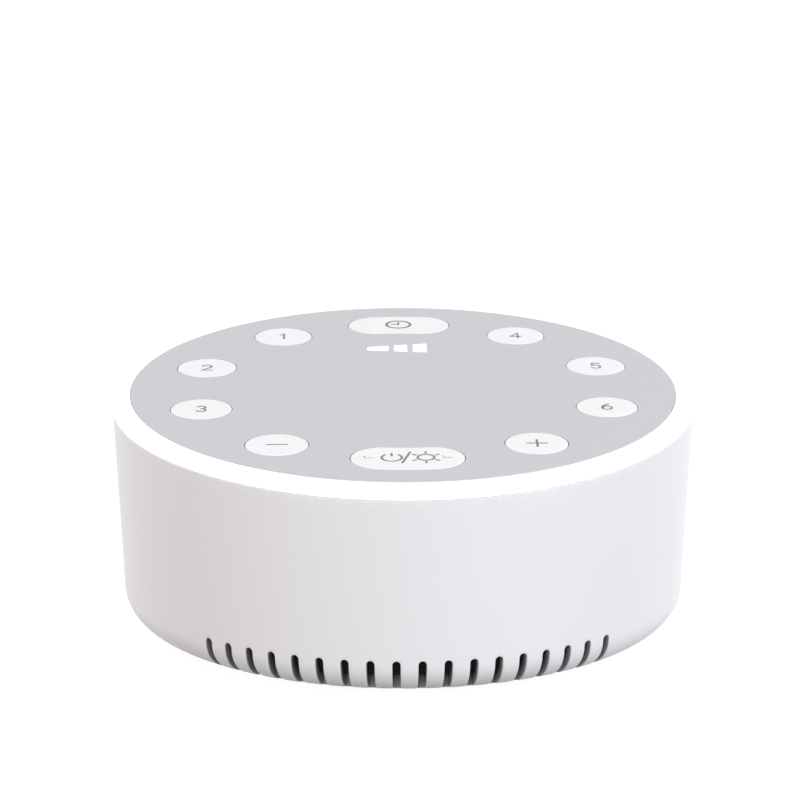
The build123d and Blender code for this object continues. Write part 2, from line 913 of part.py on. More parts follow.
def lead(name, points):
    """Round lead along straight runs, with each bend as large as its two runs allow."""
    route = [Vector(*point) for point in points]
    radii = []
    for before, corner, after in zip(route, route[1:], route[2:]):
        run, turn = lead_turn(before, corner, after)
        radii.append(lead_bend_share * run / tan(radians(turn / 2)))
    path = FilletPolyline(*route, radius=radii)
    print(name, "length", round(path.length, 1), "radii", [round(radius, 1) for radius in radii])
    start = Plane(origin=route[0], z_dir=route[1] - route[0])
    return sweep(start * Circle(lead_r), path=path)


def socket_mouth(place):
    """Where a lead leaves a socket, and the end of its straight run below it."""
    depth = board_low + socket_size[2]
    mouth = top_point(*place, depth)
    drop = (mouth.Z - lead_low) / cos(tilt)
    return top_point(*place, depth + drop), mouth


def speaker_lead():
    x, y, z = 0, speaker_y + (basket_shoulder_r + speaker_r) / 2, face_z + speaker_flange + terminal_height
    below, mouth = socket_mouth(speaker_socket_place)
    return lead("speaker_lead", [(x, y, z), (x, y, z + speaker_lead_rise), below, mouth])


def battery_lead():
    x = holder_room() + holder_end / 2
    z = floor_z + holder_end_height + contact_thickness
    below, mouth = socket_mouth(battery_socket_place)
    return lead("battery_lead", [(x, cell_y, z), (x, cell_y, z + battery_lead_rise), below, mouth])


def usb_lead():
    x, y = usb_lead_x, usb_lead_y
    below, mouth = socket_mouth(usb_socket_place)
    return lead("usb_lead", [(x, y, usb_board_z), (x, y, usb_board_z + usb_lead_rise), below, mouth])


def all_parts():
    parts = {
        "outer_shell": outer_shell(),
        "sound_mesh": sound_mesh(),
        "base_plate": base_plate(),
        "rubber_feet": rubber_feet(),
        "light_ring": light_ring(),
        "top_panel": top_panel(),
        "level_lens": level_lens(),
        "level_light_shield": level_light_shield(),
        "inner_frame": inner_frame(),
        "main_board": main_board(),
        "ring_leds": ring_leds(),
        "level_leds": level_leds(),
        "switch_bodies": switch_bodies(),
        "controller_chip": under_board(controller_size, controller_place),
        "amplifier_chip": under_board(amplifier_size, amplifier_place),
        "board_sockets": board_sockets(),
        "base_screws": base_screws(),
        "frame_screws": frame_screws(),
        "small_screws": small_screws(),
        "usb_shell": usb_shell(),
        "usb_tongue": usb_tongue(),
        "usb_board": usb_board(),
        "charge_light_pipe": charge_light_pipe(),
        "charge_led": charge_led(),
        "speaker_basket": speaker_basket(),
        "speaker_gasket": speaker_gasket(),
        "speaker_top_plate": speaker_top_plate(),
        "speaker_magnet": speaker_magnet(),
        "speaker_yoke": speaker_yoke(),
        "voice_coil": voice_coil(),
        "speaker_cone": speaker_cone(),
        "dust_cap": dust_cap(),
        "speaker_surround": speaker_surround(),
        "speaker_spider": speaker_spider(),
        "battery_cell": battery_cell(),
        "battery_holder": battery_holder(),
        "battery_contacts": battery_contacts(),
        "speaker_lead": speaker_lead(),
        "battery_lead": battery_lead(),
        "usb_lead": usb_lead(),
    }
    for name, angle, face in keys():
        parts[name + "_button"] = key_cap(angle, face)
        parts[name + "_plunger"] = key_plunger(angle)
    return parts


def main():
    os.makedirs("parts", exist_ok=True)
    for name, shape in all_parts().items():
        export_step(shape, "parts/" + name + ".step")


main()
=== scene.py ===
import json
from math import atan2, cos, pi, radians, sin, tan
import bmesh
import bpy
import numpy as np
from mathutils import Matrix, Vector


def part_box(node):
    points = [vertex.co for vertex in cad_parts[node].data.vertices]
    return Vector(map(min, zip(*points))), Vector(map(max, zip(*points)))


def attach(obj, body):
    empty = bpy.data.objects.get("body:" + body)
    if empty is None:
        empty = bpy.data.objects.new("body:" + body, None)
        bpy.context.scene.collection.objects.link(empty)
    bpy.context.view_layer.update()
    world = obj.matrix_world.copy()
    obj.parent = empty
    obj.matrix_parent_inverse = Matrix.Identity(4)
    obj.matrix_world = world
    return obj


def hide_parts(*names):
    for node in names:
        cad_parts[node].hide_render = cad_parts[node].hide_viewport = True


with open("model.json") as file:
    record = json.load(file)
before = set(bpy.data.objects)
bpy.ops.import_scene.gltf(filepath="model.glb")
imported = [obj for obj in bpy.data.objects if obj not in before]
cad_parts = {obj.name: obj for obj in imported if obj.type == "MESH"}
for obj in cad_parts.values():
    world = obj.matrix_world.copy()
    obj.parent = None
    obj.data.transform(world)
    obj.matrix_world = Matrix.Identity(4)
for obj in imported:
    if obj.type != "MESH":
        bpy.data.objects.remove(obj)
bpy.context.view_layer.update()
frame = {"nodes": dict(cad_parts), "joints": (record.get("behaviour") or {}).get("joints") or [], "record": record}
record = frame["record"]
mm = 0.001                                   # shapes are worked out in millimetres and made in metres

# The slanted panel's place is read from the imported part: its slant from the power key's joint,
# its middle from its own box.
pressAxis = next(joint["axis"] for joint in frame["joints"] if joint["name"] == "power_press")
tilt = atan2(pressAxis[1], -pressAxis[2])
panelLow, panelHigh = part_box("top_panel")
panelRadius = (panelHigh.x - panelLow.x) / 2 / mm
panelZ = panelHigh.z / mm - panelRadius * sin(tilt)
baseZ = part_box("base_plate")[0].z / mm


# Camera

cameraLook = {
    "lens": 126.11,
    "sensor": 36.0,
    "distance": 520.7,                       # on the floor, from the object's middle, mm
    "height": 170.75,
    "azimuth": -1.25,                        # degrees round from straight ahead
    "pitch": 13.926,                         # degrees down
    "shiftX": -0.0037,
    "clipStart": 0.02,                       # metres
    "clipEnd": 20.0,
}


def makeCamera(look):
    camera = bpy.data.cameras.new("mainCamera")
    camera.lens = look["lens"]
    camera.sensor_width = look["sensor"]
    camera.shift_x = look["shiftX"]
    camera.clip_start = look["clipStart"]
    camera.clip_end = look["clipEnd"]
    holder = bpy.data.objects.new("mainCamera", camera)
    bpy.context.scene.collection.objects.link(holder)
    turn = radians(look["azimuth"])
    reach = look["distance"] * mm
    holder.location = (reach * sin(turn), -reach * cos(turn), look["height"] * mm)
    holder.rotation_euler = (radians(90 - look["pitch"]), 0, turn)
    bpy.context.scene.camera = holder


makeCamera(cameraLook)
print("camera set")


# Shader tools


class Wire:                                  # one output socket: sums and comparisons on it add Math nodes
    def __init__(self, tree, socket):
        self.tree = tree
        self.socket = socket

    def join(self, operation, first, second=0.0):
        node = self.tree.nodes.new("ShaderNodeMath")
        node.operation = operation
        for index, value in enumerate((first, second)):
            if isinstance(value, Wire):
                self.tree.links.new(value.socket, node.inputs[index])
            else:
                node.inputs[index].default_value = value
        return Wire(self.tree, node.outputs[0])

    def __add__(self, other):
        return self.join("ADD", self, other)

    def __sub__(self, other):
        return self.join("SUBTRACT", self, other)

    def __rsub__(self, other):
        return self.join("SUBTRACT", other, self)

    def __mul__(self, other):
        return self.join("MULTIPLY", self, other)

    def __gt__(self, other):
        return self.join("GREATER_THAN", self, other)

    def __lt__(self, other):
        return self.join("LESS_THAN", self, other)

    __radd__ = __add__
    __rmul__ = __mul__

    def larger(self, other):
        return self.join("MAXIMUM", self, other)

    def angle(self, other):                  # the angle whose tangent is this over the other
        return self.join("ARCTAN2", self, other)

    def sine(self):
        return self.join("SINE", self)

    def waves(self, length):                 # a sine between 0 and 1, once round in each length
        return (self * (2 * pi / length)).sine() * 0.5 + 0.5


class Finish:                                # one material: its nodes and its shader
    def __init__(self, name):
        self.material = bpy.data.materials.new(name)
        self.material.use_nodes = True
        self.tree = self.material.node_tree
        self.shader = self.tree.nodes["Principled BSDF"]
        self.place = self.node("TexCoord", out="Object")

    def node(self, kind, settings=None, sockets=None, out=0):
        node = self.tree.nodes.new("ShaderNode" + kind)
        for name, value in (settings or {}).items():
            if name == "stops":
                self.setStops(node.color_ramp, value)
            else:
                setattr(node, name, value)
        for name, value in (sockets or {}).items():
            self.feed(node.inputs[name], value)
        return Wire(self.tree, node.outputs[out])

    def setStops(self, ramp, stops):
        while len(ramp.elements) < len(stops):
            ramp.elements.new(1.0)
        for element, (position, colour) in zip(ramp.elements, stops):
            element.position = position
            element.color = (*colour, 1.0)

    def feed(self, socket, value):
        if isinstance(value, Wire):
            self.tree.links.new(value.socket, socket)
        elif socket.type == "RGBA":
            socket.default_value = (*value, 1.0)
        else:
            socket.default_value = value

    def set(self, **values):                 # baseColor=... goes to the shader's Base Color socket
        for name, value in values.items():
            words = "".join(" " + letter if letter.isupper() else letter for letter in name)
            socket = next(s for s in self.shader.inputs if s.name.lower() == words.lower())
            self.feed(socket, value)

    def noise(self, scale, detail=2.0, rough=0.5, place=None):
        sockets = {"Vector": place or self.place, "Scale": scale, "Detail": detail, "Roughness": rough}
        return self.node("TexNoise", sockets=sockets)

    def cells(self, scale):
        return self.node("TexVoronoi", sockets={"Vector": self.place, "Scale": scale}, out="Distance")

    def squeeze(self, scale):                # the object's coordinates, each axis times its own scale
        return self.node("Mapping", sockets={"Vector": self.place, "Scale": scale})

    def parts(self):                         # x, y and z of the object's own coordinates
        node = self.node("SeparateXYZ", sockets={"Vector": self.place})
        split = node.socket.node
        return [Wire(self.tree, split.outputs[index]) for index in range(3)]

    def blend(self, share, first, second):
        return self.node("Mix", {"data_type": "RGBA"}, {0: share, 6: first, 7: second}, 2)

    def ramp(self, value, *stops):
        return self.node("ValToRGB", {"stops": stops}, {"Fac": value})

    def bump(self, height, depth):
        self.set(normal=self.node("Bump", sockets={"Height": height, "Distance": depth}))


def shade(colour, share):                    # the colour times a share: darker below 1, lighter above
    return tuple(min(1.0, part * share) for part in colour)


# Materials

plasticLook = {
    "mottle": 45.0,                          # broad unevenness of the moulding, per metre
    "grain": 5200.0,                         # spark texture, per metre
    "flow": 350.0,                           # finer unevenness, per metre
}


def mouldedPlastic(name, colour, rough, depth, uneven=0.012):
    # Mottling moves the colour by a share, and grain moves the roughness and lifts the surface.
    finish = Finish(name)
    broad = finish.noise(plasticLook["mottle"], 3.0)
    flow = finish.noise(plasticLook["flow"], 4.0)
    grain = finish.noise(plasticLook["grain"], 3.0, 0.6)
    darker, lighter = shade(colour, 1 - uneven), shade(colour, 1 + uneven)
    finish.set(
        baseColor=finish.blend(broad * 0.6 + flow * 0.4, darker, lighter),
        roughness=grain * 0.10 + flow * 0.06 + (rough - 0.08),
    )
    finish.bump(grain + flow * 0.3, depth * mm)
    return finish


def caseWhite():
    # White moulding with painted shade inside it and in its slots: a dark colour put where they fall into shade.
    finish = mouldedPlastic("caseWhite", (0.80, 0.785, 0.797), rough=0.42, depth=0.006)
    outside = finish.shader.inputs["Base Color"].links[0].from_socket
    # A share from the mesh picks the painted shade's dark colour over the white.
    lining = finish.node("Attribute", {"attribute_name": "lining"}, out="Fac")
    shadeMottle = finish.noise(800.0, 3.0)
    inside = finish.blend(shadeMottle, (0.02, 0.02, 0.021), (0.035, 0.034, 0.035))
    finish.set(baseColor=finish.blend(lining, Wire(finish.tree, outside), inside))
    finish.set(coatWeight=0.06, coatRoughness=0.3)
    return finish.material


def baseWhite():
    return mouldedPlastic("baseWhite", (0.74, 0.735, 0.735), rough=0.55, depth=0.012).material


def frameWhite():
    return mouldedPlastic("frameWhite", (0.70, 0.70, 0.69), rough=0.5, depth=0.008).material


def panelGrey():
    return mouldedPlastic("panelGrey", (0.585, 0.585, 0.61), rough=0.5, depth=0.004, uneven=0.008).material


def keyWhite():
    return mouldedPlastic("keyWhite", (0.915, 0.915, 0.93), rough=0.4, depth=0.003, uneven=0.006).material


def switchBlack():
    return mouldedPlastic("switchBlack", (0.025, 0.025, 0.027), rough=0.45, depth=0.006, uneven=0.1).material


def socketCream():
    return mouldedPlastic("socketCream", (0.72, 0.68, 0.55), rough=0.45, depth=0.006, uneven=0.03).material


def ringDiffuser():
    # Milky plastic lit from within: clouds in it move its colour and its glow a little.
    finish = Finish("ringDiffuser")
    clouds = finish.noise(160.0, 4.0)
    grain = finish.noise(plasticLook["grain"], 2.0)
    finish.set(
        baseColor=finish.blend(clouds, (0.93, 0.93, 0.94), (0.97, 0.97, 0.97)),
        roughness=grain * 0.08 + 0.34,
        emissionColor=finish.blend(clouds, (0.97, 0.97, 1.0), (1.0, 1.0, 1.0)),
        emissionStrength=0.25,
    )
    finish.bump(grain, 0.003 * mm)
    return finish.material


def board(name, mask, overCopper):
    # Solder mask over copper tracks: a stepped wave bent by noise gives the tracks.
    finish = Finish(name)
    x, y = finish.parts()[:2]
    drift = finish.noise(90.0, 1.0)
    lines = ((x + y * 0.6) * 2600.0 + drift * 26.0).sine() > 0.35
    patches = finish.noise(60.0, 0.0) > 0.5
    tracks = lines * patches
    grain = finish.noise(3000.0, 2.0)
    finish.set(
        baseColor=finish.blend(tracks, mask, overCopper),
        roughness=0.32 - tracks * 0.06 + grain * 0.06,
    )
    finish.bump(tracks + grain * 0.2, 0.03 * mm)
    return finish.material


def boardGreen():
    return board("boardGreen", (0.005, 0.05, 0.022), (0.013, 0.1, 0.04))


# Black mask: painted shade for the board seen through the power opening.
def paintedShadeBoard():
    return board("paintedShadeBoard", (0.006, 0.006, 0.007), (0.014, 0.014, 0.016))


def ledWhite():
    finish = Finish("ledWhite")
    spots = finish.cells(900.0)
    finish.set(
        baseColor=finish.ramp(spots, (0.0, (0.95, 0.72, 0.16)), (0.45, (0.88, 0.86, 0.78))),
        roughness=spots * 0.2 + 0.2,
    )
    finish.bump(spots, 0.02 * mm)
    return finish.material


def metal(name, colour, rough):
    # Streaks run along X: noise on coordinates squeezed along it.
    finish = Finish(name)
    streaks = finish.noise(2400.0, 4.0, 0.6, finish.squeeze((0.06, 1.0, 1.0)))
    spots = finish.noise(700.0, 2.0)
    finish.set(
        baseColor=finish.blend(streaks, shade(colour, 0.86), shade(colour, 1.08)),
        roughness=streaks * 0.18 + spots * 0.08 + (rough - 0.12),
        metallic=1.0,
    )
    finish.bump(streaks, 0.004 * mm)
    return finish.material


def steel():
    return metal("platedSteel", (0.60, 0.60, 0.61), rough=0.34)


# Dark steel: painted shade for the connector shell in the power opening.
def paintedShadeSteel():
    return metal("paintedShadeSteel", (0.09, 0.09, 0.095), rough=0.45)


def copperCoil():
    # Enamelled wire wound round the coil: a wave along Z, one turn each 0.2 mm.
    finish = Finish("copperCoil")
    turns = finish.parts()[2].waves(0.2 * mm)
    finish.set(
        baseColor=finish.blend(turns, (0.32, 0.09, 0.03), (0.62, 0.24, 0.09)),
        roughness=0.4 - turns * 0.12,
        metallic=0.9,
    )
    finish.bump(turns, 0.05 * mm)
    return finish.material


def roughSolid(name, dark, light, rough, scale, depth):
    # Grains of two sizes mix two colours and raise the surface.
    finish = Finish(name)
    coarse = finish.noise(scale, 4.0, 0.6)
    fine = finish.noise(scale * 4, 2.0)
    finish.set(
        baseColor=finish.blend(coarse * 0.7 + fine * 0.3, dark, light),
        roughness=fine * 0.14 + (rough - 0.07),
    )
    finish.bump(coarse * 0.6 + fine * 0.4, depth * mm)
    return finish.material


def ferrite():
    dark, light = (0.035, 0.035, 0.038), (0.085, 0.083, 0.08)
    return roughSolid("ferrite", dark, light, rough=0.62, scale=900.0, depth=0.03)


def softBlack():
    dark, light = (0.018, 0.018, 0.019), (0.04, 0.04, 0.042)
    return roughSolid("softBlack", dark, light, rough=0.72, scale=1600.0, depth=0.02)


def footRubber():
    dark, light = (0.26, 0.26, 0.268), (0.34, 0.34, 0.348)
    return roughSolid("footRubber", dark, light, rough=0.8, scale=1100.0, depth=0.03)


def conePaper():
    # Pressed fibres: noise stretched two ways, the stronger one shows.
    finish = Finish("conePaper")
    lengthways = finish.noise(2200.0, 3.0, 0.6, finish.squeeze((0.25, 1.0, 1.0)))
    crossways = finish.noise(2200.0, 3.0, 0.6, finish.squeeze((1.0, 0.25, 1.0)))
    fibres = lengthways.larger(crossways)
    finish.set(
        baseColor=finish.blend(fibres, (0.02, 0.02, 0.021), (0.075, 0.073, 0.07)),
        roughness=fibres * 0.15 + 0.68,
    )
    finish.bump(fibres, 0.05 * mm)
    return finish.material


def meshBlack():
    # Woven threads: two waves round and up the band, holes where both are low.
    finish = Finish("meshBlack")
    x, y, z = finish.parts()
    pitch, radius = 0.5 * mm, 52 * mm
    around = x.angle(y).waves(pitch / radius)
    threads = around.larger(z.waves(pitch))
    finish.set(
        baseColor=finish.blend(threads, (0.004, 0.004, 0.004), (0.03, 0.03, 0.032)),
        roughness=0.75 - threads * 0.15,
        specularIorLevel=0.1,
    )
    finish.bump(threads, 0.08 * mm)
    return finish.material


def cellSleeve():
    # Shrink sleeve with faint creases across its length and a pale band at one end.
    finish = Finish("cellSleeve")
    folds = finish.noise(420.0, 3.0, 0.5, finish.squeeze((1.0, 0.2, 0.2)))
    band = finish.parts()[0] > 22 * mm
    finish.set(
        baseColor=finish.blend(band, (0.02, 0.10, 0.27), (0.62, 0.63, 0.64)),
        roughness=folds * 0.14 + 0.2,
    )
    finish.bump(folds, 0.06 * mm)
    return finish.material


def clearPipe():
    finish = Finish("clearPipe")
    swirl = finish.noise(500.0, 2.0)
    finish.set(
        baseColor=finish.blend(swirl, (0.88, 0.9, 0.92), (0.94, 0.96, 0.97)),
        roughness=swirl * 0.1 + 0.1,
        transmissionWeight=0.55,
        ior=1.49,
    )
    finish.bump(swirl, 0.01 * mm)
    return finish.material


def leadJacket():
    # Vinyl with faint rings left by the die, one each 0.6 mm of height.
    finish = Finish("leadJacket")
    rings = finish.parts()[2].waves(0.6 * mm)
    grain = finish.noise(2600.0, 2.0)
    finish.set(
        baseColor=finish.blend(grain, (0.38, 0.02, 0.02), (0.5, 0.04, 0.035)),
        roughness=grain * 0.12 + 0.36,
    )
    finish.bump(rings * 0.3 + grain, 0.01 * mm)
    return finish.material


def printGrey():
    # Pad-printed ink: a little thin in places.
    finish = Finish("printGrey")
    wear = finish.noise(1500.0, 3.0)
    finish.set(
        baseColor=finish.blend(wear, (0.16, 0.16, 0.17), (0.22, 0.22, 0.23)),
        roughness=wear * 0.15 + 0.5,
    )
    finish.bump(wear, 0.004 * mm)
    return finish.material


finishes = {
    "white_case": caseWhite(),
    "base_plastic": baseWhite(),
    "diffuser": ringDiffuser(),
    "grey_panel": panelGrey(),
    "key_white": keyWhite(),
    "switch_black": switchBlack(),
    "frame_white": frameWhite(),
    "green_board": boardGreen(),
    "led_white": ledWhite(),
    "socket_cream": socketCream(),
    "steel": steel(),
    "ferrite": ferrite(),
    "speaker_paper": conePaper(),
    "copper_coil": copperCoil(),
    "soft_black": softBlack(),
    "rubber_grey": footRubber(),
    "mesh_black": meshBlack(),
    "cell_sleeve": cellSleeve(),
    "clear_pipe": clearPipe(),
    "lead_jacket": leadJacket(),
}
keyInk = printGrey()


def paint(piece, material):
    piece.data.materials.clear()
    piece.data.materials.append(material)


for subpart in record["subparts"]:
    paint(frame["nodes"][subpart["node"]], finishes[subpart["material_slot"]])
# What shows through the power opening is painted dark: painted shade in the recess behind it.
paint(frame["nodes"]["usb_board"], paintedShadeBoard())
paint(frame["nodes"]["usb_shell"], paintedShadeSteel())
print("materials made")


# Mesh tools

tiny = 1e-6                                  # less than this counts as nothing
seamGap = 1e-7                               # metres: points nearer than this are made one
sharpAngle = radians(50)                     # a larger turn between two faces stays a sharp edge


def toPanel(points):
    # The panel's own axes to the object's: turned about X by the slant, then lifted.
    x, y, z = np.moveaxis(points, -1, 0)
    return np.stack((x, y * cos(tilt) - z * sin(tilt), panelZ + y * sin(tilt) + z * cos(tilt)), -1)


def gridFaces(rows, columns, closeRows=False):
    # Quads between neighbouring rows of a grid. The columns close on themselves, the rows only if told.
    index = np.arange(rows * columns).reshape(rows, columns)
    beside = np.roll(index, -1, 1)
    stop = rows if closeRows else rows - 1
    above = np.roll(index, -1, 0)[:stop]
    aboveBeside = np.roll(beside, -1, 0)[:stop]
    return np.stack((index[:stop], beside[:stop], aboveBeside, above), -1).reshape(-1, 4)


def makePiece(name, points, faces):
    mesh = bpy.data.meshes.new(name)
    mesh.from_pydata((points.reshape(-1, 3) * mm).tolist(), [], faces.tolist())
    piece = bpy.data.objects.new(name, mesh)
    bpy.context.scene.collection.objects.link(piece)
    return piece


def stackGrids(grids):
    # Several (points, faces) lists as one, each with its indices moved on past those before it.
    points, faces, count = [], [], 0
    for gridPoints, gridQuads in grids:
        flat = gridPoints.reshape(-1, 3)
        points.append(flat)
        faces.append(gridQuads + count)
        count += len(flat)
    return np.concatenate(points), np.concatenate(faces)


def closeSeams(piece):
    work = bmesh.new()
    work.from_mesh(piece.data)
    bmesh.ops.remove_doubles(work, verts=work.verts, dist=seamGap)
    bmesh.ops.dissolve_degenerate(work, dist=seamGap, edges=work.edges)
    work.to_mesh(piece.data)
    work.free()


def smoothOver(piece):
    mesh = piece.data
    mesh.polygons.foreach_set("use_smooth", np.ones(len(mesh.polygons), bool))
    mesh.set_sharp_from_angle(angle=sharpAngle)
    weighted = piece.modifiers.new("evenNormals", "WEIGHTED_NORMAL")
    weighted.keep_sharp = True


def dress(piece, body, slotName, *nodes, material=None):
    paint(piece, material or finishes[slotName])
    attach(piece, body)
    if nodes:
        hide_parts(*nodes)


# Case shell

caseLook = {
    "radius": 55.4,                          # outside of the wall at the panel's height
    "draft": radians(2.5),
    "wall": 2.0,
    "round": 6.0,                            # bottom rounding outside
    "roundEnd": radians(-6),                 # where the rounding stops, just short of the wall
    "floor": 2.5,
    "floorRest": 0.4,                        # flat between the inside floor's last row and its rounding
    "ringDrop": 2.2,                         # wall's rim below the panel, square to it
    "stepRadius": 44.15,                     # shell's step over the base plate
    "holeRadius": 46.15,
    "stepThickness": 1.0,
    "edge": 0.15,                            # rounding of slots, holes and rim
    "slots": 18,
    "slotPitch": 4.93,                       # degrees
    "slotWidth": 1.45,
    "slotTop": 6.75,                         # above the base
    "slotLand": 2.9,                         # from the base plate's opening out to the slots
    "slotPaintedShade": (0, 0, 0.45, 0.95, 1, 1),  # painted shade on the slots' walls on each layer, from outside in
    "holeLining": (0, 0, 0, 0, 1, 1),        # the same for the rear holes
    "port": {"x": 2.5, "z": 13.8, "halfX": 6.0, "halfZ": 2.5, "corner": 2.0},
    "light": {"x": -6.9, "z": 13.3, "halfX": 0.8, "halfZ": 0.8, "corner": 0.8},
    "holeReach": 1.0,                        # how far round a hole the grid gives way to it
    "holeTouch": 0.01,                       # and how far inside its edge
    "collarSkin": 1.2,                       # the tube behind the port
    "collarDepth": 3.5,
    "collarSunk": 0.4,                       # its root in the wall
    "collarHair": 0.02,                      # its inside wider than the port
    "slotColumns": 9,
    "landColumns": (0.32, 0.5, 0.68),        # between two slots, in pitches from the first one's middle
    "rearReach": 13.0,                       # close columns this far each way from the rear's middle
    "rearColumns": (5, 8, 4, 26, 5),         # to the light hole, over it, to the port, over it, to the end
    "sideColumns": 54,
    "sideGap": 0.9,                          # from the slots' columns to the left side's, in pitches
    "stepRows": 5,                           # as many as the step's outline has points
    "landRows": 4,                           # rows of the rounding below the slots, then along them
    "roundRows": 14,
    "wallLow": 8.2,                          # close rows between these heights above the ground
    "wallHigh": 19.5,
    "wallRows": (5, 3, 8, 6, 3),             # to the port, to the light hole, over it, over the port, on
    "topRows": 12,
}


def wallRadius(z):
    # The drafted wall widens upwards by the draft's tangent.
    return caseLook["radius"] + (z - panelZ) * tan(caseLook["draft"])


def rimHeight(angle):
    # Height where the slanted rim plane cuts the wall: the plane's height at the wall's radius,
    # worked out again from each answer.
    z = panelZ
    for repeat in range(4):
        y = wallRadius(z) * np.sin(angle)
        z = panelZ + (y * sin(tilt) - caseLook["ringDrop"]) / cos(tilt)
    return z


def joinRuns(stops, counts):
    # Evenly spaced values from each stop to the next, with its own count of steps, as one list.
    runs = [np.linspace(*run, endpoint=False) for run in zip(stops, stops[1:], counts)]
    return np.concatenate(runs + [[stops[-1]]])


def bothEnds(middle, half):
    return middle - half, middle + half


def crownIndex(look):                        # number of the row along the slots' round tops
    return look["stepRows"] + look["landRows"] + look["roundRows"]


def caseColumns(look):
    # Angle of each column, its place across its slot, -1 to 1, and how far it is under the slot's
    # round end. A column beside the slots has 0 for both.
    turns = np.linspace(-pi / 2, pi / 2, look["slotColumns"])
    middles = -90 + (np.arange(look["slots"]) - (look["slots"] - 1) / 2) * look["slotPitch"]
    slotAngles = np.repeat(middles[:, None], len(turns), 1)
    landAngles = middles[:, None] + np.array(look["landColumns"]) * look["slotPitch"]
    front = np.concatenate((slotAngles, landAngles), 1).ravel()
    beside = np.zeros(len(look["landColumns"]))
    across = np.tile(np.concatenate((np.sin(turns), beside)), look["slots"])
    crowns = np.tile(np.concatenate((np.cos(turns), beside)), look["slots"])
    port, light = look["port"], look["light"]
    holeEnds = (*bothEnds(light["x"], light["halfX"]), *bothEnds(port["x"], port["halfX"]))
    rearX = joinRuns((-look["rearReach"], *holeEnds, look["rearReach"]), look["rearColumns"])
    rear = 90 - np.degrees(np.arcsin(rearX[::-1] / wallRadius(baseZ + port["z"])))
    gap = look["slotPitch"] * look["sideGap"]
    right = np.linspace(front[-1] + gap / 2, rear[0], look["sideColumns"])[:-1]
    left = np.linspace(rear[-1], front[0] + 360 - gap, look["sideColumns"])[1:]
    angles = np.radians(np.concatenate((front, right, rear, left)))
    plain = np.zeros(len(angles) - len(front))
    return angles, np.concatenate((across, plain)), np.concatenate((crowns, plain))


def caseSkin(look, columns, inset, lift, rounding, grow):
    # One skin of the shell on the grid: step, floor, rounding and wall, from the middle outward and up.
    # grow widens every slot and hole and lowers the rim.
    angles, across, crowns = columns
    low = baseZ + lift
    centreZ = low + rounding
    centreR = wallRadius(centreZ) - inset - rounding / cos(look["draft"])
    step, opening, bevel = look["stepRadius"], look["holeRadius"], look["edge"]
    if lift:
        floorEnd = centreR - look["floorRest"]
        rows = [(radius, low) for radius in np.linspace(step + bevel, floorEnd, look["stepRows"])]
    else:
        floorTop = baseZ + look["floor"]
        stepZ = floorTop - look["stepThickness"]
        rows = [(step, floorTop - bevel), (step, stepZ), (opening, stepZ)]
        rows += [(opening, low + bevel), (opening + bevel, low)]
    slotEnd = opening + look["slotLand"] - grow
    slotTurn = np.arcsin((slotEnd - centreR) / rounding) - pi / 2
    arc = joinRuns((-pi / 2, slotTurn, look["roundEnd"]), (look["landRows"], look["roundRows"] - 1))
    rows += [(centreR + rounding * cos(turn), centreZ + rounding * sin(turn)) for turn in arc]
    half = look["slotWidth"] / 2 + grow
    crown = baseZ + look["slotTop"] - look["slotWidth"] / 2
    port, light = look["port"], look["light"]
    portLow, portHigh = bothEnds(baseZ + port["z"], port["halfZ"])
    lightLow, lightHigh = bothEnds(baseZ + light["z"], light["halfZ"])
    stops = (look["wallLow"], portLow, lightLow, lightHigh, portHigh, look["wallHigh"])
    rows += [(wallRadius(z) - inset, z) for z in (crown, *joinRuns(stops, look["wallRows"]))]
    radii, z = np.array(rows).T[..., None] * np.ones(len(angles))
    crownRow = crownIndex(look)
    z[crownRow] += half * crowns
    share = np.linspace(0, 1, look["topRows"])[1:, None]
    top = z[-1] + share * (rimHeight(angles) - grow - z[-1])
    z = np.concatenate((z, top))
    radii = np.concatenate((radii, wallRadius(top) - inset))
    radii[crownRow] = wallRadius(z[crownRow]) - inset
    turned = angles + np.arcsin(across * half / radii)
    points = np.stack((radii * np.cos(turned), radii * np.sin(turned), z), -1)
    for hole in (port, light):
        points = openHole(look, points, hole, inset, grow)
    return points


def openHole(look, points, hole, inset, grow):
    # Points round a rear hole are drawn onto its rounded outline, less and less up to the reach.
    x, y, z = np.moveaxis(points, -1, 0)
    flatX = x / np.hypot(x, y) * wallRadius(baseZ + look["port"]["z"])
    dx, dz = flatX - hole["x"], z - (baseZ + hole["z"])
    away = np.maximum(np.abs(dx) - hole["halfX"], np.abs(dz) - hole["halfZ"])
    inReach = (y > 0) & (away < look["holeReach"]) & (away > -look["holeTouch"])
    corner = hole["corner"]
    flatWidth, flatHeight = hole["halfX"] - corner, hole["halfZ"] - corner
    nearX = np.clip(dx, -hole["halfX"], hole["halfX"])
    nearZ = np.clip(dz, -hole["halfZ"], hole["halfZ"])
    outX = np.sign(nearX) * np.maximum(np.abs(nearX) - flatWidth, 0)
    outZ = np.sign(nearZ) * np.maximum(np.abs(nearZ) - flatHeight, 0)
    length = np.maximum(np.hypot(outX, outZ), tiny)
    scale = (corner + grow) / length - 1
    fade = 1 - np.clip(away / look["holeReach"], 0, 1)
    newX = np.where(inReach, hole["x"] + dx + outX * scale * fade, x)
    newZ = np.where(inReach, z + outZ * scale * fade, z)
    newY = np.sqrt(np.maximum((wallRadius(newZ) - inset) ** 2 - newX ** 2, 0))
    return np.stack((newX, np.where(inReach, newY, y), newZ), -1)


